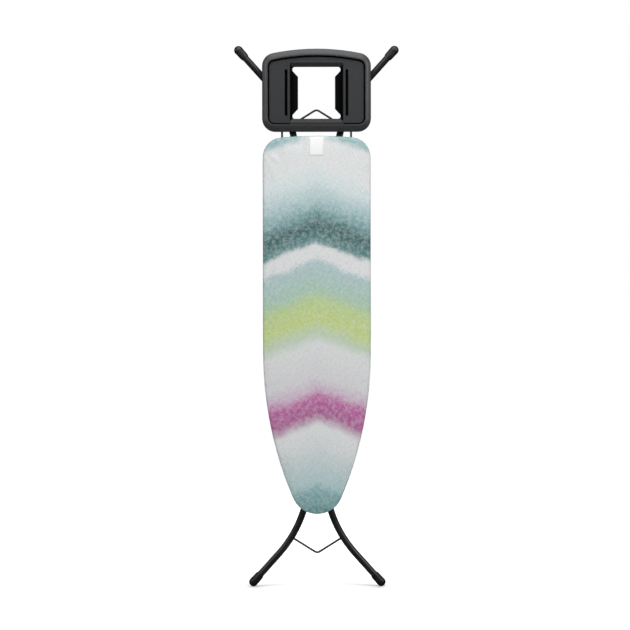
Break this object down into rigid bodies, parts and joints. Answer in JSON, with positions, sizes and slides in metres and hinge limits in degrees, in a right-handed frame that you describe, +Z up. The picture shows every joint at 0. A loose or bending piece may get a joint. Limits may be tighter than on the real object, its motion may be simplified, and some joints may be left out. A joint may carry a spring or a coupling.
{
  "type": "ironing board",
  "caption": "Folding ironing board standing upright: padded cover on a steel mesh table, scissor legs, height catch, and an iron rest with a steam window.",
  "frame": {"origin": "middle of the floor area under the folded board, standing on its two lower feet", "axes": "+Z up along the folded board from the nose to the iron rest, -Y the way the ironing surface faces, +X to its right"},
  "size_m": [0.484, 0.062, 1.588],
  "materials": {
    "cotton": "printed cotton, plain weave",
    "foam": "open-cell foam",
    "black_steel": "semi-gloss powder coat",
    "black_plastic": "fine moulded texture",
    "zinc_steel": "zinc plated",
    "nylon": "moulded nylon"
  },
  "bodies": {
    "table": {"cover_top": "cotton", "cover_skirt": "cotton", "pad": "foam", "mesh_panel": "black_steel", "rim": "black_steel", "nose_bar": "black_steel", "middle_bar": "black_steel", "hinge_bar": "black_steel", "rear_bar": "black_steel", "slide_rail_left": "black_steel", "slide_rail_right": "black_steel", "hinge_bracket": "black_steel", "rod_clips": "black_plastic", "catch_spring": "zinc_steel", "rest_sockets": "black_plastic", "board_rivets": "zinc_steel", "rest_frame": "black_plastic", "rest_panel": "black_plastic", "rest_rod_left": "black_steel", "rest_rod_right": "black_steel", "rest_clips": "black_plastic"},
    "inner_legs": {"inner_tube_left": "black_steel", "inner_tube_right": "black_steel", "inner_brace": "black_steel", "inner_cap_left": "black_plastic", "inner_cap_right": "black_plastic", "hinge_lugs": "black_steel", "hinge_axle": "zinc_steel", "pivot_bolts": "zinc_steel", "pivot_spacers": "nylon"},
    "outer_legs": {"outer_tube_left": "black_steel", "outer_tube_right": "black_steel", "outer_brace": "black_steel", "outer_cap_left": "black_plastic", "outer_cap_right": "black_plastic", "slide_lugs": "black_steel", "slide_axle": "zinc_steel", "slide_bushes": "nylon", "bush_caps": "black_plastic"},
    "catch": {"catch_rack": "zinc_steel", "catch_rod": "zinc_steel", "lever_arm": "black_steel", "lever_grip": "black_plastic"}
  },
  "joints": [
    {"name": "leg_fold", "type": "hinge", "parent": "table", "child": "inner_legs", "pos_m": [0, 0.001, 1.194], "axis": [1, 0, 0], "range_deg": [0, 50]},
    {"name": "scissor", "type": "hinge", "parent": "inner_legs", "child": "outer_legs", "pos_m": [0, 0.018, 0.794], "axis": [1, 0, 0], "range_deg": [-100, 0]},
    {"name": "height_catch", "type": "hinge", "parent": "table", "child": "catch", "pos_m": [-0.072, -0.01425, 0.55], "axis": [0, 0, 1], "range_deg": [-1.2, 6.38], "stiffness_Nm_per_rad": 0.8, "springref_deg": 6.36}
  ],
  "couplings": [
    {"joint": "scissor", "follows": "leg_fold", "ratio": -2}
  ]
}
